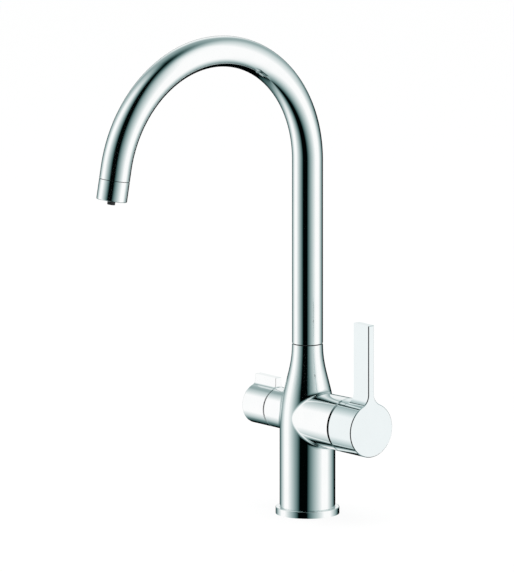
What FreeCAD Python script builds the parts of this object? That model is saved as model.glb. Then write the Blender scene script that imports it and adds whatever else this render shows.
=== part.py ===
"""Three-way kitchen mixer tap: a mixed-water lever, a filtered-water lever and a swivelling swan-neck spout.

Millimetres and degrees. The origin is the centre of the foot, on the deck. +Z is up, the spout reaches
towards -Y, the mixer lever is on +X and the filter lever on -X.
"""
import FreeCAD, Part
import math
import os
from FreeCAD import Vector

# Body and foot
body_dia = 45.0
flange_step = 3.25
flange_height = 5.5
flange_edge_round = 0.7
foot_bevel = 0.5
shoulder_height = 70.0
shoulder_pull = 34.0
neck_pull = 26.0
neck_top_height = 139.3
foot_wall = 3.5
spigot_recess = 1.0
spigot_height = 24.0
gasket_inset = 2.25
gasket_width = 2.4
gasket_thickness = 1.6
branch_fillet = 4.0
branch_edge_bevel = 0.8

# Sockets in the foot, at their tapping sizes
inlet_bore_dia = 9.0
inlet_thread_depth = 12.0
inlet_circle_dia = 23.0
feed_angle = 60.0
stud_bore_dia = 6.8
stud_thread_depth = 12.0
channel_dia = 6.4

# Spout
tube_dia = 25.0
tube_wall = 1.25
column_top_height = 290.3
arch_radius = 101.4
arch_bend = 169.5
tail_length = 26.3
spout_seam = 0.6

# Spout socket, shank and seals
socket_dia = 20.0
socket_depth = 37.0
shank_bore_dia = 12.6
shank_plug_length = 11.0
shank_foot_gap = 1.0
seal_groove_dia = 16.2
seal_groove_width = 2.6
seal_groove_height = 9.0
seal_groove_pitch = 8.0
clip_groove_dia = 17.6
clip_height = 28.0
clip_thickness = 1.6
clip_depth = 1.0
clip_opening = 40.0
glide_ring_inset = 0.5

# Filtered-water line in the spout
hose_dia = 8.0
hose_bore_dia = 5.4
hose_foot_height = 6.0
plug_dia = 7.0
plug_depth = 7.5
plug_bore_dia = 3.0
plug_collar_height = 1.6
barb_length = 7.0
plug_groove_dia = 4.6
plug_groove_width = 1.6
filter_passage_dia = 4.4
mixed_passage_dia = 5.0

# Outlet
collar_length = 16.5
collar_wall = 1.6
collar_lip = 1.8
collar_lip_thickness = 1.5
collar_edge_round = 0.8
collar_seam = 0.4
bush_length = 8.0
bush_reach = 6.5
bush_bore_dia = 17.0
washer_thickness = 1.2
tip_dia = 6.5
tip_reach = 3.4
tip_bore_dia = 3.2
tip_edge_round = 0.6
aerator_slots = 16
aerator_slot_width = 1.1
aerator_rim = 1.4
aerator_slot_wall = 1.2

# Mixer branch and lever
mixer_axis_height = 79.8
mixer_dia = 44.4
mixer_branch_draft = 2.0
mixer_seam = 52.6
mixer_seam_gap = 1.2
mixer_cap_length = 27.8
mixer_cap_wall = 2.2
mixer_face_wall = 3.0
mixer_rim_lip = 0.8
mixer_rim_taper = 2.6
mixer_rim_bevel = 0.4
mixer_fin_thickness = 6.0
mixer_fin_depth = 18.7
mixer_fin_reach = 86.2
mixer_flare = 10.0
mixer_face_bevel = 0.6
mixer_boss_dia = 19.0
mixer_boss_length = 20.0
mixer_screw_dia = 5.0
mixer_screw_length = 5.0
mixer_screw_setback = 17.0
mixer_tilt = 20.0

# Mixer cartridge
cartridge_dia = 35.0
cartridge_length = 30.0
cartridge_base_thickness = 4.0
cartridge_bore_dia = 29.0
cartridge_lip_bore_dia = 25.6
cartridge_lip_thickness = 1.4
port_dia = 5.6
port_spread = 9.0
feed_port_drop = 4.0
mixed_port_rise = 8.0
port_seal_section = 1.2
disc_dia = 27.4
disc_thickness = 3.5
moving_disc_dia = 21.6
moving_disc_thickness = 3.0
mixing_recess_dia = 15.0
mixing_recess_depth = 1.6
carrier_thickness = 4.4
carrier_rib_width = 3.0
carrier_rib_height = 2.0
carrier_rib_length = 14.0
carrier_rib_spread = 7.4
carrier_socket_dia = 6.6
turret_neck_dia = 24.8
turret_neck_length = 3.0
nut_dia = 38.0
nut_thickness = 5.0
nut_bore_dia = 26.0
nut_recess = 0.7
nut_notches = 4
nut_notch_width = 4.0
nut_notch_depth = 2.0
stem_width = 8.0
stem_pivot_setback = 14.9
stem_ball_dia = 6.0
stem_neck_dia = 4.6
stem_neck_length = 4.0
pin_dia = 3.0
pin_length = 24.0

# Filter branch and lever
filter_axis_height = 81.2
filter_dia = 32.8
filter_seam = 36.4
filter_seam_gap = 0.5
filter_cap_length = 26.3
filter_cap_wall = 2.0
filter_face_wall = 2.6
filter_rim_bevel = 0.2
filter_fin_thickness = 6.0
filter_fin_reach = 24.2
filter_flare = 3.6
filter_edge_round = 0.6
filter_boss_dia = 14.0
filter_boss_length = 14.0
filter_screw_dia = 4.0
filter_screw_length = 3.0
filter_screw_setback = 9.0

# Filter valve
valve_floor = 17.0
valve_bore_dia = 20.4
seat_bore_dia = 7.0
seat_seal_thickness = 1.2
seat_seal_width = 2.8
valve_disc_dia = 15.2
valve_disc_thickness = 2.5
valve_port_dia = 4.6
valve_port_spread = 3.6
headwork_sleeve_dia = 17.6
headwork_sleeve_length = 9.0
headwork_bore_dia = 15.6
headwork_neck_dia = 14.0
headwork_neck_reach = 7.5
headwork_window_width = 6.0
headwork_window_length = 3.0
spindle_foot_thickness = 2.2
spindle_dia = 8.0
spindle_groove_dia = 5.6
spindle_groove_width = 1.8
spindle_groove_setback = 5.0
spindle_clip_thickness = 1.0
spindle_clip_dia = 11.0
spindle_engagement = 12.0

# Fits
seal_corner_share = 0.5
seat_clearance = 0.05
running_clearance = 0.1
moving_clearance = 0.3
film = 0.1
overrun = 2.0
plane_tolerance = 0.001
edge_samples = 5

# Lines that the pieces turn on
X_AXIS = Vector(1, 0, 0)
Y_AXIS = Vector(0, 1, 0)
Z_AXIS = Vector(0, 0, 1)
body_line = (Vector(0, 0, 0), Z_AXIS)
mixer_line = (Vector(0, 0, mixer_axis_height), X_AXIS)
filter_line = (Vector(0, 0, filter_axis_height), -X_AXIS)

# Foot, from the body's width
flange_dia = body_dia + 2 * flange_step
spigot_dia = body_dia - 2 * foot_wall
gasket_outer_dia = flange_dia - 2 * gasket_inset

# Stations along the mixer branch, measured from the body's axis
branch_end = mixer_seam - mixer_seam_gap
mixer_face = mixer_seam + mixer_cap_length
nut_end = branch_end - nut_recess
nut_start = nut_end - nut_thickness
cartridge_start = nut_start - cartridge_length
housing_start = cartridge_start + cartridge_base_thickness
disc_end = housing_start + disc_thickness
moving_start = disc_end + film
moving_end = moving_start + moving_disc_thickness
carrier_end = moving_end + carrier_thickness
turret_start = carrier_end + film
pivot = mixer_seam - stem_pivot_setback
ball_station = moving_end + stem_ball_dia / 2 + moving_clearance
boss_start = mixer_face - mixer_face_wall - mixer_boss_length
mixer_screw_station = mixer_face - mixer_screw_setback

# Stations along the filter branch, measured from the body's axis
filter_branch_end = filter_seam - filter_seam_gap
filter_face = filter_seam + filter_cap_length
seal_end = valve_floor + seat_seal_thickness
valve_disc_end = seal_end + valve_disc_thickness
rotor_start = valve_disc_end + film
rotor_end = rotor_start + valve_disc_thickness
spindle_foot_end = rotor_end + spindle_foot_thickness
headwork_step = valve_floor + headwork_sleeve_length
headwork_end = filter_branch_end + headwork_neck_reach
filter_boss_start = filter_face - filter_face_wall - filter_boss_length
spindle_end = filter_boss_start + spindle_engagement
filter_screw_station = filter_face - filter_screw_setback

# Heights in the spout socket
socket_floor = neck_top_height - socket_depth
shank_foot = socket_floor + shank_foot_gap
tube_start = neck_top_height + spout_seam
plug_foot = socket_floor - plug_depth
hose_start = socket_floor + hose_foot_height

# The end of the arch and the way out of it
bend = math.radians(arch_bend)
arch_centre = Vector(0, -arch_radius, column_top_height)
arch_end = arch_centre + Vector(0, math.cos(bend), math.sin(bend)) * arch_radius
outlet_line = (arch_end, Vector(0, -math.sin(bend), math.cos(bend)))
collar_start = tail_length - collar_length
tube_tail = collar_start - collar_seam
bush_end = collar_start + bush_reach
washer_end = bush_end + washer_thickness
lip_start = tail_length - collar_lip_thickness


def rod(line, start, end, dia):
    """Round bar on a line, between two stations in either order."""
    origin, direction = line
    low, high = sorted((start, end))
    return Part.makeCylinder(dia / 2, high - low, origin + direction * low, direction)


def ring(line, start, end, outer_dia, inner_dia):
    """Plain bored ring on a line."""
    return rod(line, start, end, outer_dia).cut(rod(line, start - overrun, end + overrun, inner_dia))


def across(line):
    """A direction square to a line."""
    return Z_AXIS if abs(line[1].x) > abs(line[1].z) else X_AXIS


def turned(line, outline):
    """Turned piece on a line, from its (station, diameter) corners."""
    origin, direction = line
    side = across(line)
    corners = [origin + direction * station + side * (dia / 2) for station, dia in outline]
    face = Part.Face(Part.makePolygon(corners + corners[:1]))
    return face.revolve(origin, direction, 360)


def seal_ring(line, station, inner_dia, outer_dia):
    """Round seal pressed into its groove: as wide as it is thick, with its corners drawn in."""
    half = (outer_dia - inner_dia) / 4
    middle = (inner_dia + outer_dia) / 2
    share = seal_corner_share
    section = [
        (-1, -share), (-1, share), (-share, 1), (share, 1),
        (1, share), (1, -share), (share, -1), (-share, -1),
    ]
    outline = [(station + half * along, middle + 2 * half * out) for along, out in section]
    return turned(line, outline).Solids[0]


def bar(line, start, end, width, height):
    """Bar on a branch line, with its width along Y and its height along Z."""
    origin, direction = line
    low = min(direction.x * start, direction.x * end)
    corner = origin + Vector(low, -width / 2, -height / 2)
    return Part.makeBox(end - start, width, height, corner)


def offset(line, y, z):
    """The line parallel to a branch line at a sideways place."""
    return (line[0] + Vector(0, y, z), line[1])


def spoke(line, station, reach_in, reach_out, dia):
    """Round bar that points down from a branch line, between two distances from it."""
    origin, direction = line
    down = (origin + direction * station, -Z_AXIS)
    return rod(down, reach_in, reach_out, dia)


def slant(start, end, dia):
    """Round bar between two points."""
    way = end - start
    return Part.makeCylinder(dia / 2, way.Length, start, way)


def edges_on(shape, line, station):
    """Edges of a shape that lie in the plane across a line at a station."""
    origin, direction = line
    plane = origin + direction * station
    found = []
    for edge in shape.Edges:
        points = edge.discretize(edge_samples)
        if all(abs((point - plane).dot(direction)) < plane_tolerance for point in points):
            found.append(edge)
    return found


def only(shape):
    """The one solid of a shape, with its seams merged."""
    return shape.removeSplitter().Solids[0]


def body_flank():
    """Silhouette of the body from its foot to its neck: a straight run that draws in to the spout's width."""
    body_r = body_dia / 2
    neck_r = tube_dia / 2
    curve = Part.BezierCurve()
    curve.setPoles([
        Vector(body_r, 0, shoulder_height),
        Vector(body_r, 0, shoulder_height + shoulder_pull),
        Vector(neck_r, 0, neck_top_height - neck_pull),
        Vector(neck_r, 0, neck_top_height),
    ])
    heel = Vector(body_r, 0, flange_height + foot_bevel)
    run = Part.LineSegment(heel, Vector(body_r, 0, shoulder_height))
    return [run.toShape(), curve.toShape()]


def body_outline():
    """Bottle-shaped outside of the body."""
    toe = Vector(body_dia / 2 - foot_bevel, 0, flange_height)
    heel = Vector(body_dia / 2, 0, flange_height + foot_bevel)
    neck = Vector(tube_dia / 2, 0, neck_top_height)
    corners = [neck, Vector(0, 0, neck_top_height), Vector(0, 0, flange_height), toe, heel]
    closing = [Part.LineSegment(a, b).toShape() for a, b in zip(corners, corners[1:])]
    return Part.Face(Part.Wire(body_flank() + closing)).revolve(Vector(0, 0, 0), Z_AXIS, 360)


def room_at(height):
    """Radius of the widest round branch that the body's silhouette holds at a height."""
    middle = Part.Vertex(Vector(0, 0, height))
    return min(edge.distToShape(middle)[0] for edge in body_flank())


def branch_joints(shape, line, reach):
    """Edges where a branch meets the body: beside the body's axis and inside the branch's reach."""
    side = line[1].x
    joints = []
    for edge in shape.Edges:
        box = edge.BoundBox
        near, far = sorted((side * box.XMin, side * box.XMax))
        beside = near > film and far < reach
        level = box.ZMin > flange_height + film and box.ZMax < neck_top_height - film
        if beside and level and box.YLength > film:
            joints.append(edge)
    return joints


def blended_body():
    """Body with both branches, softly blended where they leave it.

    The mixer branch has the draft of a casting, and at its root it is just narrower than the body there.
    """
    reach = body_dia / 2 + branch_fillet / 2
    root, tip = room_at(mixer_axis_height) - mixer_branch_draft / 2, mixer_dia / 2
    branches = [
        (mixer_line, branch_end, Part.makeCone(root, tip, branch_end, *mixer_line)),
        (filter_line, filter_branch_end, rod(filter_line, 0, filter_branch_end, filter_dia)),
    ]
    shape = body_outline()
    for line, end, branch in branches:
        shape = only(shape.fuse(branch))
        shape = shape.makeFillet(branch_fillet, branch_joints(shape, line, reach))
        shape = shape.makeChamfer(branch_edge_bevel, edges_on(shape, line, end))
    return shape


def feed_points():
    """Places of the hot and cold sockets on the foot's inlet circle."""
    radius = inlet_circle_dia / 2
    angles = [math.radians(feed_angle), -math.radians(feed_angle)]
    return [Vector(radius * math.cos(a), radius * math.sin(a), 0) for a in angles]


def filter_point():
    """Place of the filtered water's socket."""
    return Vector(-inlet_circle_dia / 2, 0, 0)


def foot_plug():
    """Brass plug brazed into the body's foot, with the sockets for three hoses and the fixing stud."""
    shape = rod(body_line, spigot_recess, spigot_height, spigot_dia)
    shape = shape.cut(rod(body_line, 0, spigot_recess + stud_thread_depth, stud_bore_dia))
    for place in feed_points() + [filter_point()]:
        upright = (place, Z_AXIS)
        shape = shape.cut(rod(upright, 0, spigot_recess + inlet_thread_depth, inlet_bore_dia))
        shape = shape.cut(rod(upright, 0, spigot_height + overrun, channel_dia))
    return only(shape)


def body_casting():
    """Brass body: outside, foot plug's seat, valve chambers, spout socket and the water ways between them."""
    shape = blended_body()
    cuts = [rod(body_line, 0, spigot_height, spigot_dia + 2 * seat_clearance)]
    cuts.append(rod(mixer_line, cartridge_start, branch_end + overrun, cartridge_dia + 2 * seat_clearance))
    cuts.append(rod(mixer_line, nut_start, branch_end + overrun, nut_dia + 2 * seat_clearance))
    cuts.append(rod(filter_line, valve_floor, filter_branch_end + overrun, valve_bore_dia))
    cuts.append(rod(body_line, socket_floor, neck_top_height + overrun, socket_dia))
    clip_room = clip_thickness + 2 * moving_clearance
    clip_low = socket_floor + clip_height - clip_room / 2
    clip_room_dia = socket_dia + 2 * clip_depth + 2 * moving_clearance
    cuts.append(rod(body_line, clip_low, clip_low + clip_room, clip_room_dia))
    cuts.append(rod(body_line, plug_foot, socket_floor + overrun, plug_dia + 2 * running_clearance))

    for place, side in zip(feed_points(), (1, -1)):
        port_height = mixer_axis_height - feed_port_drop
        cuts.append(rod((place, Z_AXIS), 0, port_height, channel_dia))
        port_line = offset(mixer_line, side * port_spread, -feed_port_drop)
        cuts.append(rod(port_line, place.x, cartridge_start + overrun, port_dia))

    cuts.append(rod((filter_point(), Z_AXIS), 0, filter_axis_height, channel_dia))
    cuts.append(rod(filter_line, inlet_circle_dia / 2, valve_floor + overrun, seat_bore_dia))
    valve_roof = filter_line[0] + Vector(-headwork_step, 0, valve_bore_dia / 2 - filter_passage_dia)
    plug_end = Vector(0, 0, plug_foot + filter_passage_dia / 2)
    cuts.append(slant(valve_roof, plug_end, filter_passage_dia))

    mixed_x = socket_dia / 2 - mixed_passage_dia / 2
    mixed_height = mixer_axis_height + mixed_port_rise
    cuts.append(rod((Vector(mixed_x, 0, 0), Z_AXIS), mixed_height, socket_floor + overrun, mixed_passage_dia))
    cuts.append(rod(offset(mixer_line, 0, mixed_port_rise), mixed_x, cartridge_start + overrun, port_dia))
    for cut in cuts:
        shape = shape.cut(cut)
    return shape.Solids[0]


def base_flange():
    """Foot ring with a rounded top edge and a groove for its gasket."""
    shape = ring(body_line, 0, flange_height, flange_dia, spigot_dia + 2 * seat_clearance)
    rim = [e for e in edges_on(shape, body_line, flange_height) if e.BoundBox.XLength > body_dia]
    shape = shape.makeFillet(flange_edge_round, rim)
    groove_outer = gasket_outer_dia + 2 * seat_clearance
    groove_inner = gasket_outer_dia - 2 * gasket_width - 2 * seat_clearance
    return only(shape.cut(ring(body_line, -overrun, gasket_thickness, groove_outer, groove_inner)))


def base_gasket():
    """Flat rubber ring, flush with the underside of the flange."""
    return ring(body_line, 0, gasket_thickness - seat_clearance, gasket_outer_dia,
                gasket_outer_dia - 2 * gasket_width)


def bent_rod(dia, start_height, tail):
    """Round bar that rises from a height, follows the arch and runs straight out of it."""
    column = rod(body_line, start_height, column_top_height, dia)
    section = Part.Face(Part.Wire(Part.makeCircle(dia / 2, Vector(0, 0, column_top_height), Z_AXIS)))
    arch = section.revolve(arch_centre, X_AXIS, arch_bend)
    return only(column.fuse([arch, rod(outlet_line, 0, tail, dia)]))


def swan_neck(outer_dia, inner_dia, start_height, tail):
    """Tube along the spout's arch."""
    bore = bent_rod(inner_dia, start_height - overrun, tail + overrun)
    return only(bent_rod(outer_dia, start_height, tail).cut(bore))


def spout_tube():
    """Swan-neck tube of the spout."""
    return swan_neck(tube_dia, tube_dia - 2 * tube_wall, tube_start, tube_tail)


def groove_band(centre, width):
    """Lower and upper ends of a groove."""
    return centre - width / 2, centre + width / 2


def seal_heights():
    """Heights of the two seals on the spout's shank."""
    lower = socket_floor + seal_groove_height
    return [lower, lower + seal_groove_pitch]


def spout_shank():
    """Brass shank brazed into the tube: it turns in the body's socket on two seals and a snap ring."""
    shank_dia = socket_dia - 2 * running_clearance
    plug = tube_dia - 2 * tube_wall - 2 * seat_clearance
    outline = [
        (shank_foot, shank_bore_dia), (shank_foot, shank_dia), (tube_start, shank_dia), (tube_start, plug),
        (tube_start + shank_plug_length, plug), (tube_start + shank_plug_length, shank_bore_dia),
    ]
    shape = turned(body_line, outline)
    for height in seal_heights():
        low, high = groove_band(height, seal_groove_width)
        shape = shape.cut(ring(body_line, low, high, socket_dia, seal_groove_dia))
    low, high = groove_band(socket_floor + clip_height, clip_thickness + 2 * seat_clearance)
    return only(shape.cut(ring(body_line, low, high, socket_dia, clip_groove_dia)))


def spout_o_ring(height):
    """Seal in one groove of the shank."""
    inner = seal_groove_dia + 2 * running_clearance
    return seal_ring(body_line, height, inner, socket_dia - 2 * running_clearance)


def spout_snap_ring():
    """Split ring that keeps the shank in the socket."""
    low, high = groove_band(socket_floor + clip_height, clip_thickness)
    outer = socket_dia + 2 * clip_depth
    shape = ring(body_line, low, high, outer, clip_groove_dia + 2 * seat_clearance)
    opening = Part.makeCylinder(outer, high - low, Vector(0, 0, low), Z_AXIS, clip_opening)
    return only(shape.cut(opening))


def spout_glide_ring():
    """Slide washer between the tube and the body, set back so that a fine joint shows."""
    outer = tube_dia - 2 * glide_ring_inset
    return ring(body_line, neck_top_height + film, tube_start, outer, socket_dia + 2 * running_clearance)


def hose_plug():
    """Plug on the hose's foot that turns in the body, with a barb that the hose is pushed on."""
    barb = hose_bore_dia - 2 * seat_clearance
    barb_top = hose_start + barb_length
    seat = hose_start - plug_collar_height
    outline = [
        (plug_foot + film, plug_bore_dia), (plug_foot + film, plug_dia), (seat, plug_dia), (seat, hose_dia),
        (hose_start, hose_dia), (hose_start, barb), (barb_top, barb), (barb_top, plug_bore_dia),
    ]
    low, high = groove_band(socket_floor - plug_groove_width, plug_groove_width)
    groove = ring(body_line, low, high, plug_dia + overrun, plug_groove_dia)
    return only(turned(body_line, outline).cut(groove))


def hose_plug_o_ring():
    """Seal of the hose's plug."""
    height = socket_floor - plug_groove_width
    return seal_ring(body_line, height, plug_groove_dia + 2 * seat_clearance, plug_dia)


def filter_hose():
    """Hose that carries filtered water up the spout to the tip."""
    return swan_neck(hose_dia, hose_bore_dia, hose_start, collar_start)


def outlet_bush():
    """Sleeve brazed into the tube's end, which the nozzle collar screws on."""
    inside = tube_dia - 2 * tube_wall - 2 * seat_clearance
    thread = tube_dia - 2 * collar_wall - 2 * seat_clearance
    start = tube_tail - bush_length
    outline = [
        (start, bush_bore_dia), (start, inside), (tube_tail, inside), (tube_tail, thread), (bush_end, thread),
        (bush_end, bush_bore_dia),
    ]
    return turned(outlet_line, outline).Solids[0]


def nozzle_collar():
    """Screwed collar at the outlet, as wide as the tube, with an inner lip that holds the aerator."""
    bore = tube_dia - 2 * collar_wall
    mouth = bore - 2 * collar_lip
    outline = [
        (collar_start, bore), (collar_start, tube_dia), (tail_length, tube_dia), (tail_length, mouth),
        (lip_start, mouth), (lip_start, bore),
    ]
    shape = turned(outlet_line, outline).Solids[0]
    rim = [e for e in edges_on(shape, outlet_line, tail_length) if e.BoundBox.XLength > bore]
    return only(shape.makeFillet(collar_edge_round, rim))


def aerator_washer():
    """Rubber washer between the bush and the aerator."""
    outer = tube_dia - 2 * collar_wall - 2 * seat_clearance
    return ring(outlet_line, bush_end, washer_end, outer, bush_bore_dia)


def aerator_insert():
    """Aerator: a rim and a hub joined by the webs between a ring of slots."""
    outer = tube_dia - 2 * collar_wall - 2 * seat_clearance
    shape = ring(outlet_line, washer_end, lip_start, outer, tip_dia + 2 * seat_clearance)
    mouth_r = tube_dia / 2 - collar_wall - collar_lip
    slot_start = tip_dia / 2 + aerator_slot_wall
    slot_end = mouth_r - aerator_rim / 2
    origin, direction = outlet_line
    for index in range(aerator_slots):
        angle = index * 360 / aerator_slots
        corner = Vector(slot_start, -aerator_slot_width / 2, washer_end - overrun)
        slot = Part.makeBox(slot_end - slot_start, aerator_slot_width, tail_length, corner)
        slot.rotate(Vector(0, 0, 0), Z_AXIS, angle)
        slot.rotate(Vector(0, 0, 0), X_AXIS, arch_bend)
        slot.translate(origin)
        shape = shape.cut(slot)
    return only(shape)


def filter_tip():
    """Tip of the filtered water in the middle of the aerator, with a barb up into the hose."""
    barb = hose_bore_dia - 2 * seat_clearance
    start = collar_start - barb_length
    end = tail_length + tip_reach
    outline = [
        (start, tip_bore_dia), (start, barb), (collar_start, barb), (collar_start, tip_dia), (end, tip_dia),
        (end, tip_bore_dia),
    ]
    shape = turned(outlet_line, outline).Solids[0]
    rim = [e for e in edges_on(shape, outlet_line, end) if e.BoundBox.XLength > tip_bore_dia + film]
    return only(shape.makeFillet(tip_edge_round, rim))


def port_places():
    """Sideways places of the cartridge's two inlets and its outlet."""
    return [(port_spread, -feed_port_drop), (-port_spread, -feed_port_drop), (0, mixed_port_rise)]


def cartridge_base():
    """Floor of the cartridge with its three ports, each with a recess for its seal."""
    shape = rod(mixer_line, cartridge_start, housing_start, cartridge_dia)
    recess = port_dia + 4 * port_seal_section
    for y, z in port_places():
        line = offset(mixer_line, y, z)
        shape = shape.cut(rod(line, cartridge_start - overrun, housing_start + overrun, port_dia))
        shape = shape.cut(rod(line, cartridge_start - overrun, cartridge_start + port_seal_section, recess))
    return only(shape)


def cartridge_port_seals():
    """The three seals under the cartridge."""
    inner = port_dia + 2 * port_seal_section
    outer = inner + 2 * port_seal_section - 2 * seat_clearance
    station = cartridge_start + port_seal_section / 2
    lines = [offset(mixer_line, y, z) for y, z in port_places()]
    return Part.makeCompound([seal_ring(line, station, inner, outer) for line in lines])


def cartridge_housing():
    """Sleeve of the cartridge, with a lip that keeps the turret in."""
    lip = nut_start - cartridge_lip_thickness
    outline = [
        (housing_start, cartridge_bore_dia), (housing_start, cartridge_dia), (nut_start, cartridge_dia),
        (nut_start, cartridge_lip_bore_dia), (lip, cartridge_lip_bore_dia), (lip, cartridge_bore_dia),
    ]
    return turned(mixer_line, outline).Solids[0]


def fixed_disc():
    """Fixed ceramic disc with the three ports."""
    shape = rod(mixer_line, housing_start, disc_end, disc_dia)
    for y, z in port_places():
        port_line = offset(mixer_line, y, z)
        shape = shape.cut(rod(port_line, housing_start - overrun, disc_end + overrun, port_dia))
    return only(shape)


def moving_disc():
    """Moving ceramic disc with the recess that leads water from the inlets to the outlet."""
    shape = rod(mixer_line, moving_start, moving_end, moving_disc_dia)
    recess_end = moving_start + mixing_recess_depth
    return shape.cut(rod(mixer_line, moving_start - overrun, recess_end, mixing_recess_dia))


def carrier_ribs(clearance):
    """The two guide ribs of the disc carrier, or the room for them."""
    height = carrier_rib_height + clearance
    length = cartridge_bore_dia if clearance else carrier_rib_length
    width = carrier_rib_width + 2 * clearance
    lines = [offset(mixer_line, y, 0) for y in (carrier_rib_spread, -carrier_rib_spread)]
    return [bar(line, carrier_end - film, carrier_end + height, width, length) for line in lines]


def disc_carrier():
    """Carrier on the moving disc: two ribs slide in the turret, and the lever's ball sits in the middle."""
    shape = rod(mixer_line, moving_end, carrier_end, moving_disc_dia)
    for rib in carrier_ribs(0):
        shape = shape.fuse(rib)
    return only(shape.cut(rod(mixer_line, moving_end - overrun, carrier_end + overrun, carrier_socket_dia)))


def cartridge_turret():
    """Turret that turns with the lever: pin bore, slot for the stem and guides for the disc carrier."""
    wide = cartridge_bore_dia - 2 * moving_clearance
    step = nut_start - cartridge_lip_thickness - moving_clearance
    top = nut_start + turret_neck_length
    outline = [
        (turret_start, 0), (turret_start, wide), (step, wide),
        (step, turret_neck_dia), (top, turret_neck_dia),
        (top, 0),
    ]
    shape = turned(mixer_line, outline)
    swing = math.radians(mixer_tilt)
    longest = max(top - pivot, pivot - turret_start)
    half_slot = stem_width / 2 / math.cos(swing) + longest * math.tan(swing) + moving_clearance
    width = stem_width + 2 * moving_clearance
    shape = shape.cut(bar(mixer_line, turret_start - overrun, top + overrun, width, 2 * half_slot))
    for room in carrier_ribs(moving_clearance):
        shape = shape.cut(room)
    return only(shape.cut(pin_rod(cartridge_bore_dia, pin_dia + 2 * seat_clearance)))


def pin_rod(length, dia):
    """Round bar along the tilt axis of the lever."""
    return rod((mixer_line[0] + X_AXIS * pivot, Y_AXIS), -length / 2, length / 2, dia)


def lever_pin():
    """Pin in the turret that the stem tilts on."""
    return pin_rod(pin_length, pin_dia)


def lever_stem():
    """Square stem from the handle's boss through the pin to the ball that moves the disc."""
    neck_end = ball_station + stem_neck_length
    shape = bar(mixer_line, neck_end, mixer_face - mixer_face_wall - moving_clearance, stem_width, stem_width)
    shape = shape.fuse(rod(mixer_line, ball_station, neck_end + film, stem_neck_dia))
    shape = shape.fuse(Part.makeSphere(stem_ball_dia / 2, mixer_line[0] + X_AXIS * ball_station, X_AXIS))
    return only(shape.cut(pin_rod(cartridge_bore_dia, pin_dia + 2 * running_clearance)))


def cartridge_nut():
    """Ring nut that holds the cartridge, with notches for a key."""
    shape = ring(mixer_line, nut_start, nut_end, nut_dia, nut_bore_dia)
    core = rod(mixer_line, nut_start, nut_end + overrun, nut_bore_dia + 2 * nut_notch_depth)
    for index in range(nut_notches):
        notch = bar(mixer_line, nut_end - nut_notch_depth, nut_end + overrun, nut_notch_width, nut_dia)
        notch.translate(Z_AXIS * (nut_dia / 2))
        notch.rotate(mixer_line[0], X_AXIS, index * 360 / nut_notches)
        shape = shape.cut(notch.cut(core))
    return only(shape)


def fin(line, start, end, cap_dia, thickness, reach, flare):
    """Upright fin on a round cap, whose sides run out into the cap in hollow curves."""
    half = thickness / 2
    flare_y = half + flare
    reach_sum = cap_dia / 2 + flare
    flare_z = math.sqrt(reach_sum ** 2 - flare_y ** 2)
    toe_share = cap_dia / 2 / reach_sum
    middle = -math.atan2(flare_z, flare_y) / 2
    origin, direction = line
    base = origin + direction * start

    def place(y, z):
        return base + Vector(0, y, z)

    right = [
        place(flare_y * toe_share, flare_z * toe_share),
        place(flare_y - flare * math.cos(middle), flare_z + flare * math.sin(middle)),
        place(half, flare_z),
        place(half, reach),
    ]
    left = [place(-(p - base).y, (p - base).z) for p in right]
    edges = [
        Part.Arc(right[0], right[1], right[2]).toShape(),
        Part.LineSegment(right[2], right[3]).toShape(),
        Part.LineSegment(right[3], left[3]).toShape(),
        Part.LineSegment(left[3], left[2]).toShape(),
        Part.Arc(left[2], left[1], left[0]).toShape(),
        Part.LineSegment(left[0], right[0]).toShape(),
    ]
    return Part.Face(Part.Wire(edges)).extrude(direction * (end - start))


def mixer_handle():
    """Mixer lever: a hollow round cap with a tall fin flush with its face, and a boss on the stem."""
    shape = rod(mixer_line, mixer_seam, mixer_face, mixer_dia)
    shape = shape.makeChamfer(mixer_rim_bevel, edges_on(shape, mixer_line, mixer_seam))
    fin_start = mixer_face - mixer_fin_depth
    blade = fin(mixer_line, fin_start, mixer_face, mixer_dia, mixer_fin_thickness, mixer_fin_reach,
                mixer_flare)
    shape = only(shape.fuse(blade))
    shape = shape.makeChamfer(mixer_face_bevel, edges_on(shape, mixer_line, mixer_face))
    bore = mixer_dia - 2 * mixer_cap_wall
    mouth = mixer_dia - 2 * mixer_rim_lip
    hollow = turned(mixer_line, [
        (mixer_seam - overrun, 0), (mixer_seam - overrun, mouth), (mixer_seam, mouth),
        (mixer_seam + mixer_rim_taper, bore), (mixer_face - mixer_face_wall, bore),
        (mixer_face - mixer_face_wall, 0),
    ])
    shape = shape.cut(hollow)
    boss = rod(mixer_line, boss_start, mixer_face - mixer_face_wall + film, mixer_boss_dia)
    socket = stem_width + 2 * seat_clearance
    boss = boss.cut(bar(mixer_line, boss_start - overrun, mixer_face - mixer_face_wall, socket, socket))
    shape = shape.fuse(boss)
    screw_hole = spoke(mixer_line, mixer_screw_station, 0, mixer_dia, mixer_screw_dia + 2 * seat_clearance)
    return only(shape.cut(screw_hole))


def grub_screw(line, station, start, length, dia):
    """Headless screw with a hexagon socket, pointing at the stem."""
    shape = spoke(line, station, start, start + length, dia)
    key = dia / 2
    corners = [Vector(math.cos(math.radians(60 * i)), math.sin(math.radians(60 * i)), 0) for i in range(7)]
    mouth = line[0] + line[1] * station - Z_AXIS * (start + length)
    hexagon = Part.Face(Part.makePolygon([mouth + corner * (key / 2) for corner in corners]))
    return only(shape.cut(hexagon.extrude(Z_AXIS * key)))


def mixer_grub_screw():
    """Screw that clamps the mixer lever on its stem."""
    start = stem_width / 2 + seat_clearance
    return grub_screw(mixer_line, mixer_screw_station, start, mixer_screw_length, mixer_screw_dia)


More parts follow.
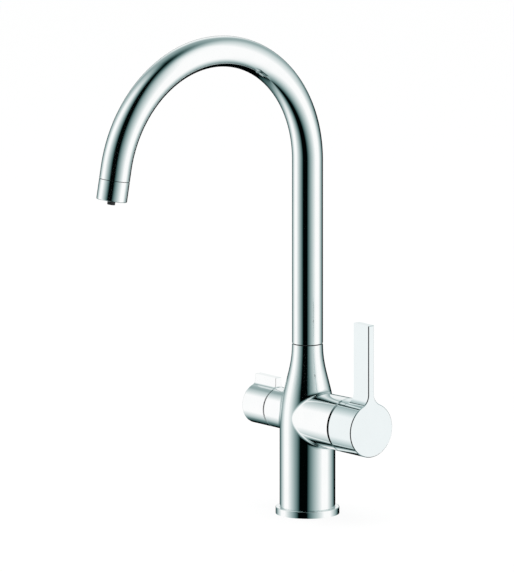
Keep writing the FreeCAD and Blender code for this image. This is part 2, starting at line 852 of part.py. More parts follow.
def filter_headwork():
    """Brass headwork of the filter valve: sleeve with two windows, threaded body and spindle neck."""
    body = valve_bore_dia - 2 * seat_clearance
    spindle_bore = spindle_dia + 2 * running_clearance
    chamber_end = spindle_foot_end + moving_clearance
    outline = [
        (valve_floor + film, headwork_bore_dia), (valve_floor + film, headwork_sleeve_dia),
        (headwork_step, headwork_sleeve_dia), (headwork_step, body), (filter_branch_end, body),
        (filter_branch_end, headwork_neck_dia), (headwork_end, headwork_neck_dia),
        (headwork_end, spindle_bore),
        (chamber_end, spindle_bore), (chamber_end, headwork_bore_dia),
    ]
    shape = turned(filter_line, outline)
    window = bar(filter_line, rotor_start, rotor_start + headwork_window_length, headwork_window_width,
                 headwork_sleeve_dia + overrun)
    return only(shape.cut(window))


def filter_seat_seal():
    """Rubber seal between the seat and the fixed disc."""
    outer = seat_bore_dia + 2 * seat_seal_width
    return ring(filter_line, valve_floor, seal_end, outer, seat_bore_dia)


def valve_disc(start):
    """Ceramic disc of the filter valve, with its two ports."""
    shape = rod(filter_line, start, start + valve_disc_thickness, valve_disc_dia)
    for side in (1, -1):
        port = offset(filter_line, 0, side * valve_port_spread)
        shape = shape.cut(rod(port, start - overrun, start + valve_disc_thickness + overrun, valve_port_dia))
    return only(shape)


def filter_moving_disc():
    """Turning disc, a quarter turn from the fixed disc's ports when closed."""
    shape = valve_disc(rotor_start)
    shape.rotate(filter_line[0], X_AXIS, 90)
    return shape


def spindle_grooves():
    """Stations of the spindle's seal and clip grooves."""
    return headwork_end - spindle_groove_setback, headwork_end + moving_clearance + spindle_clip_thickness / 2


def filter_spindle():
    """Spindle that turns the filter valve, with a foot on the disc and grooves for its seal and clip."""
    foot = headwork_bore_dia - 2 * moving_clearance
    outline = [
        (rotor_end, 0), (rotor_end, foot), (spindle_foot_end, foot), (spindle_foot_end, spindle_dia),
        (spindle_end, spindle_dia), (spindle_end, 0),
    ]
    shape = turned(filter_line, outline)
    seal, clip = spindle_grooves()
    low, high = groove_band(seal, spindle_groove_width)
    shape = shape.cut(ring(filter_line, low, high, spindle_dia + overrun, spindle_groove_dia))
    low, high = groove_band(clip, spindle_clip_thickness + 2 * seat_clearance)
    return only(shape.cut(ring(filter_line, low, high, spindle_dia + overrun, spindle_groove_dia)))


def spindle_o_ring():
    """Seal of the spindle."""
    return seal_ring(filter_line, spindle_grooves()[0], spindle_groove_dia + 2 * seat_clearance, spindle_dia)


def spindle_clip():
    """Open clip that keeps the spindle in the headwork."""
    low, high = groove_band(spindle_grooves()[1], spindle_clip_thickness)
    shape = ring(filter_line, low, high, spindle_clip_dia, spindle_groove_dia + 2 * seat_clearance)
    mouth_line = offset(filter_line, 0, -spindle_clip_dia / 2)
    mouth = bar(mouth_line, low - overrun, high + overrun, spindle_groove_dia, spindle_clip_dia)
    return only(shape.cut(mouth))


def filter_handle():
    """Filter lever: a hollow round cap with a low fin along its whole length, and a boss on the spindle."""
    shape = rod(filter_line, filter_seam, filter_face, filter_dia)
    blade = fin(filter_line, filter_seam, filter_face, filter_dia, filter_fin_thickness, filter_fin_reach,
                filter_flare)
    shape = only(shape.fuse(blade))
    shape = shape.makeFillet(filter_edge_round, edges_on(shape, filter_line, filter_face))
    shape = shape.makeChamfer(filter_rim_bevel, edges_on(shape, filter_line, filter_seam))
    bore = filter_dia - 2 * filter_cap_wall
    inner_face = filter_face - filter_face_wall
    shape = shape.cut(rod(filter_line, filter_seam - overrun, inner_face, bore))
    boss = rod(filter_line, filter_boss_start, inner_face + film, filter_boss_dia)
    spindle_hole_dia = spindle_dia + 2 * seat_clearance
    boss = boss.cut(rod(filter_line, filter_boss_start - overrun, inner_face, spindle_hole_dia))
    shape = shape.fuse(boss)
    screw_hole_dia = filter_screw_dia + 2 * seat_clearance
    screw_hole = spoke(filter_line, filter_screw_station, 0, filter_dia, screw_hole_dia)
    return only(shape.cut(screw_hole))


def filter_grub_screw():
    """Screw that clamps the filter lever on its spindle."""
    start = spindle_dia / 2 + seat_clearance
    return grub_screw(filter_line, filter_screw_station, start, filter_screw_length, filter_screw_dia)


def build_parts():
    """Every piece of the tap under its node's name."""
    lower_seal, upper_seal = seal_heights()
    return {
        "body_casting": body_casting(),
        "foot_plug": foot_plug(),
        "base_flange": base_flange(),
        "base_gasket": base_gasket(),
        "spout_tube": spout_tube(),
        "spout_shank": spout_shank(),
        "spout_o_ring_lower": spout_o_ring(lower_seal),
        "spout_o_ring_upper": spout_o_ring(upper_seal),
        "spout_snap_ring": spout_snap_ring(),
        "spout_glide_ring": spout_glide_ring(),
        "filter_hose": filter_hose(),
        "hose_plug": hose_plug(),
        "hose_plug_o_ring": hose_plug_o_ring(),
        "outlet_bush": outlet_bush(),
        "nozzle_collar": nozzle_collar(),
        "aerator_washer": aerator_washer(),
        "aerator_insert": aerator_insert(),
        "filter_tip": filter_tip(),
        "cartridge_base": cartridge_base(),
        "cartridge_port_seals": cartridge_port_seals(),
        "cartridge_housing": cartridge_housing(),
        "fixed_disc": fixed_disc(),
        "moving_disc": moving_disc(),
        "disc_carrier": disc_carrier(),
        "cartridge_turret": cartridge_turret(),
        "lever_pin": lever_pin(),
        "lever_stem": lever_stem(),
        "cartridge_nut": cartridge_nut(),
        "mixer_handle": mixer_handle(),
        "mixer_grub_screw": mixer_grub_screw(),
        "filter_headwork": filter_headwork(),
        "filter_seat_seal": filter_seat_seal(),
        "filter_fixed_disc": valve_disc(seal_end),
        "filter_moving_disc": filter_moving_disc(),
        "filter_spindle": filter_spindle(),
        "spindle_o_ring": spindle_o_ring(),
        "spindle_clip": spindle_clip(),
        "filter_handle": filter_handle(),
        "filter_grub_screw": filter_grub_screw(),
    }


os.makedirs("parts", exist_ok=True)
for name, shape in build_parts().items():
    shape.exportStep(f"parts/{name}.step")
    print(name, len(shape.Solids), shape.isValid(), round(shape.Volume))
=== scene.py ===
"""Dress, light and frame the three-way mixer tap.

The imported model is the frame: metres, origin at the centre of the foot on the deck, +Z up, the
spout towards -Y, the mixer lever on +X and the filter lever on -X. Sizes below are in millimetres
where a name doesn't say otherwise, and are turned into metres where a mesh is made.
"""
import logging
import math
from dataclasses import dataclass, field, replace
from enum import Enum
from functools import lru_cache
from typing import Any, Mapping, Sequence

import bmesh
import bpy
from mathutils import Matrix, Vector


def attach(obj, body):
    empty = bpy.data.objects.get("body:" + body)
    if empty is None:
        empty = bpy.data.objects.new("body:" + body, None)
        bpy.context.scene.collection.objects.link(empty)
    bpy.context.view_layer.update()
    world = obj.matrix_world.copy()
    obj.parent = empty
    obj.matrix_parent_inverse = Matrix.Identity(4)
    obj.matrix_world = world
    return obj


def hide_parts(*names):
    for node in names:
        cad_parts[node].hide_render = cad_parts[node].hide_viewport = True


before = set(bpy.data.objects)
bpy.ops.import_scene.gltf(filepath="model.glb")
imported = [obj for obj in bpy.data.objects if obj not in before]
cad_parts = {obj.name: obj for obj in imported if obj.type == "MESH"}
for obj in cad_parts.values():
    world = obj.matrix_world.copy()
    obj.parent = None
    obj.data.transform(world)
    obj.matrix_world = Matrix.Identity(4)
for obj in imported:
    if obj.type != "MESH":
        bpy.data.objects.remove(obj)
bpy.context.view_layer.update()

MM = 0.001
IMAGE_HEIGHT_PX = 572
SHARP_EDGE_DEG = 40.0
WHITE = "#FFFFFF"
# The Mix node has sockets of several types under the same names, so they are taken by their place.
MIX_FACTOR = 0
MIX_NUMBER_A, MIX_NUMBER_B, MIX_NUMBER = 2, 3, 0
MIX_COLOUR_A, MIX_COLOUR_B, MIX_COLOUR = 6, 7, 2

Socket = bpy.types.NodeSocket
Section = Sequence[tuple[float, float]]
log = logging.getLogger("tap")


class Body(Enum):
    """The moving bodies that carry pieces made here."""

    TAP_BODY = "tap_body"
    SPOUT = "spout"


class Ends(Enum):
    """How a skin ends at its first and last ring."""

    CAPPED = "capped"
    JOINED = "joined"


class Lay(Enum):
    """How the marks of making lie on a surface: the stretch of their pattern along X, Y and Z."""

    EVEN = (1.0, 1.0, 1.0)
    RINGS_UPRIGHT = (0.04, 0.04, 1.0)
    RINGS_LEVEL = (1.0, 0.04, 0.04)
    ALONG_UPRIGHT = (1.0, 1.0, 0.03)


def linear(code: str) -> tuple[float, float, float, float]:
    """Turn an sRGB hex colour into linear RGBA, by the sRGB standard's own curve.

    Args:
        code: Colour as six hex digits after a hash.

    Returns:
        Linear red, green and blue with full alpha.
    """
    parts = [int(code[i:i + 2], 16) / 255 for i in (1, 3, 5)]
    red, green, blue = (
        c / 12.92 if c <= 0.04045 else ((c + 0.055) / 1.055) ** 2.4 for c in parts)
    return red, green, blue, 1.0


def add(
        tree: bpy.types.NodeTree, kind: str, inputs: Mapping[str | int, Any], **settings: Any,
) -> bpy.types.Node:
    """Add a node with its settings, and fill its inputs.

    Args:
        tree: Node tree that takes the node.
        kind: Blender's name of the node type.
        inputs: Input name or place to a plain value or another node's output socket.
        **settings: Properties of the node itself.

    Returns:
        The new node.
    """
    node = tree.nodes.new(kind)
    for name, value in settings.items():
        setattr(node, name, value)
    for key, value in inputs.items():
        if isinstance(value, Socket):
            tree.links.new(value, node.inputs[key])
        else:
            node.inputs[key].default_value = value
    return node


def per_metre(size_mm: float) -> float:
    """Texture scale at which one cell of a pattern is size_mm wide."""
    return 1.0 / (size_mm * MM)


@dataclass(frozen=True)
class Finish:
    """A real material with the surface that its making leaves.

    Colour and shade mix in a mottle, and a finer grain gives the roughness and the relief.
    """

    name: str
    colour: str
    shade: str
    roughness: float
    rough_spread: float
    metallic: float
    mottle_mm: float
    grain_mm: float
    grain_depth_mm: float
    lay: Lay = Lay.EVEN
    mottle_detail: float = 3.0
    grain_detail: float = 4.0
    subsurface: float = 0.0
    subsurface_mm: float = 1.0

    @lru_cache(maxsize=None)
    def material(self) -> bpy.types.Material:
        """Build the finish once.

        Returns:
            The material with its procedural nodes.
        """
        made = bpy.data.materials.new(self.name)
        made.use_nodes = True
        tree = made.node_tree
        tree.nodes.clear()
        place = add(tree, "ShaderNodeTexCoord", {})
        aim = add(tree, "ShaderNodeMapping", {
            "Vector": place.outputs["Object"], "Scale": self.lay.value})
        mottle = add(tree, "ShaderNodeTexNoise", {
            "Vector": place.outputs["Object"], "Scale": per_metre(self.mottle_mm),
            "Detail": self.mottle_detail})
        grain = add(tree, "ShaderNodeTexNoise", {
            "Vector": aim.outputs["Vector"], "Scale": per_metre(self.grain_mm),
            "Detail": self.grain_detail})
        tone = add(tree, "ShaderNodeMix", {
            MIX_FACTOR: mottle.outputs["Fac"], MIX_COLOUR_A: linear(self.colour),
            MIX_COLOUR_B: linear(self.shade)}, data_type="RGBA")
        rough = add(tree, "ShaderNodeMapRange", {
            "Value": grain.outputs["Fac"], "To Min": self.roughness - self.rough_spread,
            "To Max": self.roughness + self.rough_spread})
        relief = add(tree, "ShaderNodeBump", {
            "Height": grain.outputs["Fac"], "Strength": 1.0, "Distance": self.grain_depth_mm * MM})
        shader = add(tree, "ShaderNodeBsdfPrincipled", {
            "Base Color": tone.outputs[MIX_COLOUR], "Roughness": rough.outputs["Result"],
            "Metallic": self.metallic, "Normal": relief.outputs["Normal"]})
        if self.subsurface:
            shader.inputs["Subsurface Weight"].default_value = self.subsurface
            shader.inputs["Subsurface Scale"].default_value = self.subsurface_mm * MM
        add(tree, "ShaderNodeOutputMaterial", {"Surface": shader.outputs["BSDF"]})
        return made


# Grain that is too fine to show is drawn coarser below, so that it does. Really the rings of a
# turning tool are some 0.1 mm apart, the grain of a mould or die some 0.05 mm wide, and that of
# ceramic 0.005 mm.

# A mirror with a cool cast. Buffing leaves a haze that comes and goes, and a wave too long and low
# to see as bumps.
CHROME = Finish(
    "chrome_plate_on_buffed_brass", "#F6F8F8", "#F0F4F4", roughness=0.045, rough_spread=0.012,
    metallic=1.0, mottle_mm=14.0, grain_mm=5.0, grain_depth_mm=0.0006)
# The same plate over a zinc casting, with its colour dimmed a shade: painted shade that darkens the
# mixer lever.
DIMMED_CHROME_ON_ZINC = replace(
    CHROME, name="chrome_plate_on_zinc_with_painted_shade", colour="#E8F0F1", shade="#E4ECED")
# Yellow metal with the fine rings of the turning tool, dulled a little where water stands.
BRASS = Finish(
    "turned_brass", "#C9A860", "#B08E4A", roughness=0.30, rough_spread=0.07, metallic=1.0,
    mottle_mm=6.0, grain_mm=0.5, grain_depth_mm=0.004, lay=Lay.RINGS_UPRIGHT)
# The same brass on the pieces that lie level in the branches.
LEVEL_BRASS = replace(BRASS, name="turned_brass_level", lay=Lay.RINGS_LEVEL)
# Grey metal, satin from turning.
STAINLESS = Finish(
    "turned_stainless_steel", "#B9BBBD", "#A4A7A9", roughness=0.28, rough_spread=0.08, metallic=1.0,
    mottle_mm=4.0, grain_mm=0.4, grain_depth_mm=0.003, lay=Lay.RINGS_LEVEL)
# Dead black with a dusty bloom and a fine moulded grain.
RUBBER = Finish(
    "moulded_nitrile_rubber", "#161617", "#232325", roughness=0.72, rough_spread=0.08, metallic=0.0,
    mottle_mm=3.0, grain_mm=0.35, grain_depth_mm=0.02)
# Milky white plastic with a soft waxy gloss.
ACETAL = Finish(
    "moulded_acetal", "#E9E8E2", "#DCDBD4", roughness=0.38, rough_spread=0.06, metallic=0.0,
    mottle_mm=8.0, grain_mm=0.6, grain_depth_mm=0.008, subsurface=0.15)
# Off-white ceramic, lapped flat, with the sparkle of its grains.
ALUMINA = Finish(
    "lapped_alumina", "#F0EBE2", "#DFD8CC", roughness=0.16, rough_spread=0.05, metallic=0.0,
    mottle_mm=2.0, grain_mm=0.25, grain_depth_mm=0.002)
# Milky, waxy tube with lines along it from the die.
POLYETHYLENE = Finish(
    "extruded_polyethylene", "#E2E7E8", "#CDD5D8", roughness=0.42, rough_spread=0.08, metallic=0.0,
    mottle_mm=5.0, grain_mm=0.6, grain_depth_mm=0.006, lay=Lay.ALONG_UPRIGHT, subsurface=0.2)
# Charcoal plastic with the dull grain of a spark-eroded mould. On the outlet bush and the seam
# rings it is painted shade, where their seams lie in shade.
NYLON_AND_SEAM_SHADE = Finish(
    "moulded_black_nylon_and_seam_shade", "#1B1D1E", "#2B2E30", roughness=0.55, rough_spread=0.10, metallic=0.0,
    mottle_mm=2.5, grain_mm=0.4, grain_depth_mm=0.02)


def skin(
        name: str, rings: Sequence[Sequence[Vector]], ends: Ends, body: Body, finish: Finish,
) -> bpy.types.Object:
    """Stretch a closed skin over rings of points and hang it on a body.

    Args:
        name: Name of the piece.
        rings: Rings of equally many points in millimetres, in order along the piece.
        ends: How the first and last ring are closed.
        body: Body that carries the piece.
        finish: Finish of the piece.

    Returns:
        The new object.
    """
    form = bmesh.new()
    rows = [[form.verts.new(point * MM) for point in ring] for ring in rings]
    follows = rows[1:]
    if ends is Ends.JOINED:
        follows.append(rows[0])
    else:
        form.faces.new(rows[0])
        form.faces.new(rows[-1])
    for near, far in zip(rows, follows):
        for i in range(len(near)):
            j = (i + 1) % len(near)
            form.faces.new((near[i], near[j], far[j], far[i]))
    for face in form.faces:
        face.smooth = True
    bmesh.ops.recalc_face_normals(form, faces=form.faces)
    mesh = bpy.data.meshes.new(name)
    form.to_mesh(mesh)
    form.free()
    mesh.set_sharp_from_angle(angle=math.radians(SHARP_EDGE_DEG))
    mesh.materials.append(finish.material())
    piece = bpy.data.objects.new(name, mesh)
    bpy.context.scene.collection.objects.link(piece)
    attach(piece, body.value)
    log.info("%s: %s on %s", name, finish.name, body.value)
    return piece


@dataclass
class SubAssembly:
    """Pieces that go together, with the finish of each CAD node."""

    finishes: Mapping[str, Finish] = field(default_factory=dict)

    def build(self) -> None:
        """Make the meshes that go beyond the CAD nodes, where there are any."""

    def dress(self) -> None:
        """Give each CAD node its finish."""
        for name, finish in self.finishes.items():
            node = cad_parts[name]
            node.data.materials.clear()
            node.data.materials.append(finish.material())
            log.info("%s: %s", name, finish.name)


@dataclass
class TapBody(SubAssembly):
    """The fixed body with its foot, and the fixed pieces of both valves.

    The section of a seam ring, a black ring of painted shade in a lever's seam, is given as places
    along its branch, each with a radius.
    """

    finishes: Mapping[str, Finish] = field(default_factory=lambda: {
        "body_casting": CHROME, "base_flange": CHROME, "base_gasket": RUBBER, "foot_plug": BRASS,
        "cartridge_base": ACETAL, "cartridge_port_seals": RUBBER, "cartridge_housing": ACETAL,
        "fixed_disc": ALUMINA, "cartridge_nut": LEVEL_BRASS, "filter_headwork": LEVEL_BRASS,
        "filter_seat_seal": RUBBER, "filter_fixed_disc": ALUMINA,
    })
    plug_foot: float = 1.0
    inlet_radius: float = 4.5
    inlet_pitch: float = 1.0
    inlet_depth: float = 12.0
    inlet_circle_radius: float = 11.5
    inlet_angles: Mapping[str, float] = field(default_factory=lambda: {
        "hot_thread": -60.0, "cold_thread": 60.0, "filter_thread": 180.0})
    stud_radius: float = 3.4
    stud_pitch: float = 1.25
    stud_depth: float = 12.0
    thread_height_share: float = 0.3
    thread_sunk: float = 0.05
    thread_steps: int = 36
    mixer_axis_height: float = 79.8
    # Sections of the black rings in the levers' seams, which paint the shade that falls there.
    mixer_shade_ring: Section = (
        (50.7, 17.4), (50.7, 18.9), (51.4, 18.9), (51.4, 20.8),
        (52.6, 20.8), (52.9, 20.5), (52.9, 17.7), (52.6, 17.4))
    filter_axis_height: float = 81.2
    filter_shade_ring: Section = (
        (-35.9, 12.4), (-35.9, 13.9), (-37.1, 13.9), (-37.4, 13.6), (-37.4, 12.7), (-37.1, 12.4))
    ring_steps: int = 96

    def build(self) -> None:
        """Turn the black rings of painted shade in the levers' seams, and wind the threads under
        the foot.
        """
        self.seam_shade_ring("mixer_seam_shade_ring", self.mixer_axis_height, self.mixer_shade_ring)
        self.seam_shade_ring("filter_seam_shade_ring", self.filter_axis_height, self.filter_shade_ring)
        self.thread("stud_thread", Vector(), self.stud_radius, self.stud_pitch, self.stud_depth)
        for name, angle in self.inlet_angles.items():
            turn = math.radians(angle)
            place = Vector((math.cos(turn), math.sin(turn), 0.0)) * self.inlet_circle_radius
            self.thread(name, place, self.inlet_radius, self.inlet_pitch, self.inlet_depth)

    def thread(
            self, name: str, place: Vector, radius: float, pitch: float, depth: float) -> None:
        """Wind one inside thread up a socket.

        Args:
            name: Name of the piece.
            place: Middle of the socket on the deck.
            radius: Radius of the socket.
            pitch: Climb in one turn.
            depth: Depth of the socket.
        """
        root = radius + self.thread_sunk
        crest = radius - pitch * self.thread_height_share
        turns = depth / pitch - 1.0
        ribs = []
        for step in range(int(turns * self.thread_steps) + 1):
            part = step / self.thread_steps
            turn = Matrix.Rotation(2 * math.pi * part, 3, "Z")
            foot = self.plug_foot + part * pitch
            section = [(root, foot), (crest, foot + pitch / 2), (root, foot + pitch)]
            ribs.append([place + turn @ Vector((out, 0.0, height)) for out, height in section])
        piece = skin(name, ribs, Ends.CAPPED, Body.TAP_BODY, BRASS)

    def seam_shade_ring(self, name: str, axis_height: float, section: Section) -> None:
        """Turn one black ring that stands in the mouth of a branch and closes the seam to its
        lever, as painted shade in that seam.

        Args:
            name: Name of the piece.
            axis_height: Height of the branch's level axis.
            section: Places along the axis, each with a radius, in order round the section.
        """
        axis = Vector((0.0, 0.0, axis_height))
        rounds = []
        for step in range(self.ring_steps):
            turn = Matrix.Rotation(2 * math.pi * step / self.ring_steps, 3, "X")
            rounds.append([axis + turn @ Vector((along, 0.0, out)) for along, out in section])
        # Black nylon here is painted shade: the ring darkens the seam where shade falls.
        piece = skin(name, rounds, Ends.JOINED, Body.TAP_BODY, NYLON_AND_SEAM_SHADE)


@dataclass
class Spout(SubAssembly):
    """The swivelling spout with its shank, its filtered-water hose and its outlet."""

    finishes: Mapping[str, Finish] = field(default_factory=lambda: {
        "spout_shank": BRASS, "spout_o_ring_lower": RUBBER, "spout_o_ring_upper": RUBBER,
        "spout_snap_ring": ACETAL, "spout_glide_ring": NYLON_AND_SEAM_SHADE, "filter_hose": POLYETHYLENE,
        # The outlet bush is brass; its black finish is painted shade in the seam at the outlet.
        "hose_plug": BRASS, "hose_plug_o_ring": RUBBER, "outlet_bush": NYLON_AND_SEAM_SHADE,
        "nozzle_collar": CHROME, "aerator_washer": RUBBER, "aerator_insert": NYLON_AND_SEAM_SHADE,
        "filter_tip": NYLON_AND_SEAM_SHADE,
    })
    tube_radius: float = 12.49
    tube_wall: float = 1.25
    tube_foot: float = 139.9
    column_top: float = 290.3
    arch_radius: float = 101.4
    arch_bend_deg: float = 169.5
    tail_length: float = 9.4
    end_round: float = 0.25
    points_round: int = 96
    arch_steps: int = 120

    def stations(self) -> list[tuple[Vector, Vector]]:
        """Walk the tube's line from foot to outlet.

        Returns:
            Places on the line, each with the direction across the bend there.
        """
        bend = math.radians(self.arch_bend_deg)
        heights = [self.tube_foot, self.tube_foot + self.end_round, self.column_top]
        walk = [(Vector((0.0, 0.0, height)), Vector((0.0, 1.0, 0.0))) for height in heights]
        centre = Vector((0.0, -self.arch_radius, self.column_top))
        for step in range(1, self.arch_steps + 1):
            turn = bend * step / self.arch_steps
            out = Vector((0.0, math.cos(turn), math.sin(turn)))
            walk.append((centre + out * self.arch_radius, out))
        last, out = walk[-1]
        along = Vector((0.0, -math.sin(bend), math.cos(bend)))
        for reach in (self.tail_length - self.end_round, self.tail_length):
            walk.append((last + along * reach, out))
        return walk

    def ring(self, place: Vector, out: Vector, radius: float) -> list[Vector]:
        """Points of one round of the tube.

        Args:
            place: Middle of the round.
            out: Direction across the bend.
            radius: Radius of the round.

        Returns:
            The points in order.
        """
        side = Vector((1.0, 0.0, 0.0))
        turns = [2 * math.pi * i / self.points_round for i in range(self.points_round)]
        return [place + (side * math.cos(t) + out * math.sin(t)) * radius for t in turns]

    def build(self) -> None:
        """Draw the swan neck finer than the solid, so that it mirrors the studio without facets."""
        walk = self.stations()
        inner = self.tube_radius - self.tube_wall
        rim = self.tube_radius - self.end_round
        rings = [self.ring(place, out, inner) for place, out in reversed(walk)]
        rings.append(self.ring(*walk[0], rim))
        rings += [self.ring(place, out, self.tube_radius) for place, out in walk[1:-1]]
        rings.append(self.ring(*walk[-1], rim))
        tube = skin("swan_neck", rings, Ends.JOINED, Body.SPOUT, CHROME)
        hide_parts("spout_tube")


@dataclass
class MixerLever(SubAssembly):
    """The mixer lever and the moving pieces of its cartridge, whose CAD nodes are only dressed."""

    finishes: Mapping[str, Finish] = field(default_factory=lambda: {
        "cartridge_turret": ACETAL, "lever_pin": STAINLESS, "disc_carrier": ACETAL,
        # The mixer handle's chrome is dimmed a shade, as painted shade.
        "moving_disc": ALUMINA, "mixer_handle": DIMMED_CHROME_ON_ZINC, "lever_stem": STAINLESS,
        "mixer_grub_screw": STAINLESS,
    })


@dataclass
class FilterLever(SubAssembly):
    """The filter lever with its spindle, whose CAD nodes are only dressed."""

    finishes: Mapping[str, Finish] = field(default_factory=lambda: {
        "filter_handle": CHROME, "filter_spindle": LEVEL_BRASS, "filter_moving_disc": ALUMINA,
        "spindle_o_ring": RUBBER, "spindle_clip": STAINLESS, "filter_grub_screw": STAINLESS,
    })


@dataclass(frozen=True)
class Panel:
    """One upright panel of the studio, a softbox, wall or card, as polished metal mirrors it.

    Headings and widths are in degrees round the horizon: half the width to either side of the
    heading, and the feather before and after it. Heights are the upright part of a unit direction:
    the panel is whole between two of them and fades out to the other two. The default heights lie
    beyond every direction, so that a panel without heights has no upper or lower end.
    """

    heading: float
    half: float
    before: float
    after: float
    level: float
    gone_below: float = -3.0
    whole_from: float = -2.0
    whole_to: float = 2.0
    gone_above: float = 3.0

    def mask(self, tree: bpy.types.NodeTree, heading: Socket, height: Socket) -> Socket:
        """How much of the panel stands in a direction.

        Args:
            tree: The world's node tree.
            heading: The direction's heading in radians.
            height: The direction's upright part.

        Returns:
            Share from 0, beside the panel, to 1, on it.
        """
        turn = add(tree, "ShaderNodeMath", {
            0: heading, 1: math.radians(self.heading)}, operation="SUBTRACT")
        off = add(tree, "ShaderNodeMath", {
            0: turn.outputs[0], 1: math.pi, 2: -math.pi}, operation="WRAP").outputs[0]
        edges = [
            (off, math.radians(-self.half - self.before), math.radians(-self.half)),
            (off, math.radians(self.half + self.after), math.radians(self.half)),
            (height, self.gone_below, self.whole_from),
            (height, self.gone_above, self.whole_to),
        ]
        share: Socket | float = 1.0
        for value, clear, whole in edges:
            edge = add(tree, "ShaderNodeMapRange", {
                "Value": value, "From Min": clear, "From Max": whole})
            share = add(tree, "ShaderNodeMath", {
                0: edge.outputs["Result"], 1: share}, operation="MULTIPLY").outputs[0]
        return share


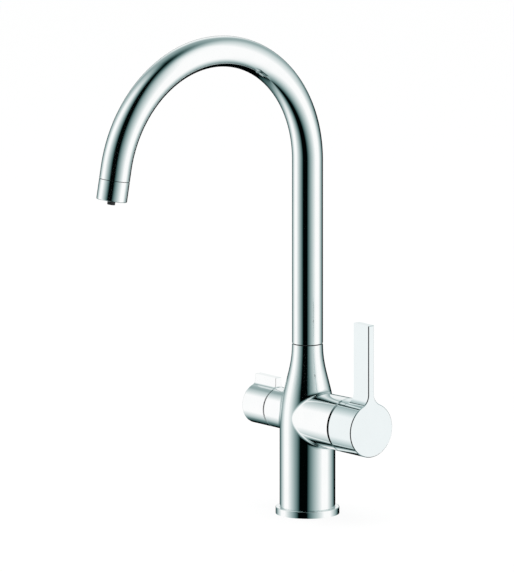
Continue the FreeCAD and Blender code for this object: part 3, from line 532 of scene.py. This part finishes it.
@dataclass
class Studio:
    """Dark room with a softbox on each side, and a pale wall and a card behind.

    Polished metal mirrors the room, and the eye sees white behind the tap.
    """

    room_level: float = 0.001
    panels: Sequence[Panel] = (
        # The wall behind, and the part of it that goes on below the horizon.
        Panel(133.0, half=55.0, before=48.0, after=40.0, level=0.43,
              gone_below=-0.08, whole_from=0.13),
        Panel(190.0, half=8.0, before=28.0, after=20.0, level=0.36, whole_to=0.0, gone_above=0.1),
        # The softboxes on the right and on the left.
        Panel(37.0, half=13.0, before=66.0, after=54.0, level=1.06),
        Panel(-139.5, half=9.5, before=34.0, after=57.0, level=1.06),
        # The card in front of the wall.
        Panel(141.0, half=7.5, before=15.0, after=22.0, level=0.95,
              gone_below=0.06, whole_from=0.1, whole_to=0.43, gone_above=0.68),
    )
    roof_drop: float = 1.0
    roof_power: float = 8.0
    ground_drop: float = 0.68
    ground_power: float = 6.3
    red_power: float = 1.3
    daylight: str = "#FCFDFD"
    paper: str = "#FAFAFA"
    shadow_share: float = 0.15
    floor_side_m: float = 6.0
    lamp_place_m: tuple[float, float, float] = (0.3, -0.3, 1.8)
    lamp_size_m: float = 1.6
    lamp_watts: float = 12.0

    def build(self) -> None:
        """Make the world, the floor and the lamp."""
        self.world()
        self.floor()
        self.lamp()

    def panel_level(self, tree: bpy.types.NodeTree) -> Socket:
        """Lay the panels over each other, and dim them towards roof and ground.

        Args:
            tree: The world's node tree.

        Returns:
            Brightness in the direction that metal mirrors.
        """
        place = add(tree, "ShaderNodeTexCoord", {})
        way = add(tree, "ShaderNodeSeparateXYZ", {"Vector": place.outputs["Generated"]})
        height = way.outputs["Z"]
        heading = add(tree, "ShaderNodeMath", {
            0: way.outputs["Y"], 1: way.outputs["X"]}, operation="ARCTAN2").outputs[0]
        level: Socket | float = self.room_level
        for panel in self.panels:
            level = add(tree, "ShaderNodeMix", {
                MIX_FACTOR: panel.mask(tree, heading, height), MIX_NUMBER_A: level,
                MIX_NUMBER_B: panel.level}, data_type="FLOAT").outputs[MIX_NUMBER]
        roof = (1.0, self.roof_drop, self.roof_power)
        ground = (-1.0, self.ground_drop, self.ground_power)
        for sign, drop, power in (roof, ground):
            side = add(tree, "ShaderNodeMath", {
                0: height, 1: sign}, operation="MULTIPLY", use_clamp=True)
            depth = add(tree, "ShaderNodeMath", {0: side.outputs[0], 1: power}, operation="POWER")
            kept = add(tree, "ShaderNodeMath", {
                0: depth.outputs[0], 1: -drop, 2: 1.0}, operation="MULTIPLY_ADD")
            level = add(tree, "ShaderNodeMath", {
                0: level, 1: kept.outputs[0]}, operation="MULTIPLY").outputs[0]
        return level

    def world(self) -> None:
        """White to the eye, and panels to polished metal, whose shade is faintly green-blue."""
        world = bpy.data.worlds.new("studio")
        bpy.context.scene.world = world
        world.use_nodes = True
        tree = world.node_tree
        tree.nodes.clear()
        level = self.panel_level(tree)
        red = add(tree, "ShaderNodeMath", {0: level, 1: self.red_power}, operation="POWER")
        shade = add(tree, "ShaderNodeCombineColor", {
            "Red": red.outputs[0], "Green": level, "Blue": level})
        mirrored = add(tree, "ShaderNodeBackground", {"Color": shade.outputs["Color"]})
        seen = add(tree, "ShaderNodeBackground", {"Color": linear(WHITE)})
        soft = add(tree, "ShaderNodeBackground", {"Color": linear(self.daylight)})
        path = add(tree, "ShaderNodeLightPath", {})
        shiny = add(tree, "ShaderNodeMath", {
            0: path.outputs["Is Glossy Ray"], 1: path.outputs["Is Transmission Ray"]},
            operation="MAXIMUM")
        indirect = add(tree, "ShaderNodeMixShader", {
            0: shiny.outputs[0], 1: soft.outputs[0], 2: mirrored.outputs[0]})
        final = add(tree, "ShaderNodeMixShader", {
            0: path.outputs["Is Camera Ray"], 1: indirect.outputs[0], 2: seen.outputs[0]})
        add(tree, "ShaderNodeOutputWorld", {"Surface": final.outputs[0]})

    def floor(self) -> None:
        """Pale matt floor that keeps a faint shadow."""
        mesh = bpy.data.meshes.new("floor")
        form = bmesh.new()
        bmesh.ops.create_grid(form, x_segments=1, y_segments=1, size=self.floor_side_m / 2)
        form.to_mesh(mesh)
        form.free()
        floor = bpy.data.objects.new("floor", mesh)
        bpy.context.scene.collection.objects.link(floor)
        floor.visible_glossy = False
        paper = bpy.data.materials.new("white_paper_sweep")
        paper.use_nodes = True
        tree = paper.node_tree
        tree.nodes.clear()
        path = add(tree, "ShaderNodeLightPath", {})
        matt = add(tree, "ShaderNodeBsdfDiffuse", {"Color": linear(self.paper)})
        white = add(tree, "ShaderNodeEmission", {"Color": linear(WHITE)})
        lit = add(tree, "ShaderNodeMath", {
            0: path.outputs["Is Camera Ray"], 1: 1.0 - self.shadow_share}, operation="MULTIPLY")
        both = add(tree, "ShaderNodeMixShader", {
            0: lit.outputs[0], 1: matt.outputs[0], 2: white.outputs[0]})
        add(tree, "ShaderNodeOutputMaterial", {"Surface": both.outputs[0]})
        mesh.materials.append(paper)

    def lamp(self) -> None:
        """One large overhead lamp that grounds the tap."""
        light = bpy.data.lights.new("overhead", "AREA")
        light.shape = "DISK"
        light.size = self.lamp_size_m
        light.energy = self.lamp_watts
        lamp = bpy.data.objects.new("overhead", light)
        lamp.location = self.lamp_place_m
        lamp.visible_glossy = False
        bpy.context.scene.collection.objects.link(lamp)


@dataclass(frozen=True)
class Viewpoint:
    """Parallel view at the photograph's angle, as a very long lens gives."""

    azimuth_deg: float = 50.12
    elevation_deg: float = 11.30
    aside: float = -40.73
    height: float = 186.37
    distance: float = 2000.0
    px_per_mm: float = 1.240

    def build(self) -> None:
        """Place the camera and make it the scene's own."""
        turn, lift = math.radians(self.azimuth_deg), math.radians(self.elevation_deg)
        right = Vector((math.cos(turn), math.sin(turn), 0.0))
        back = Vector((
            math.sin(turn) * math.cos(lift), -math.cos(turn) * math.cos(lift), math.sin(lift)))
        target = right * self.aside + Vector((0.0, 0.0, self.height))
        lens = bpy.data.cameras.new("camera")
        lens.type = "ORTHO"
        lens.sensor_fit = "VERTICAL"
        lens.ortho_scale = IMAGE_HEIGHT_PX / self.px_per_mm * MM
        camera = bpy.data.objects.new("camera", lens)
        camera.location = (target + back * self.distance) * MM
        camera.rotation_euler = back.to_track_quat("Z", "Y").to_euler()
        bpy.context.scene.collection.objects.link(camera)
        bpy.context.scene.camera = camera


def main() -> None:
    """Build and dress the tap, then set the studio and the camera."""
    logging.basicConfig(level=logging.INFO, format="%(message)s")
    bpy.context.scene.view_settings.view_transform = "Standard"
    for part in (TapBody(), Spout(), MixerLever(), FilterLever()):
        part.build()
        part.dress()
    Studio().build()
    Viewpoint().build()


if __name__ == "__main__":
    main()
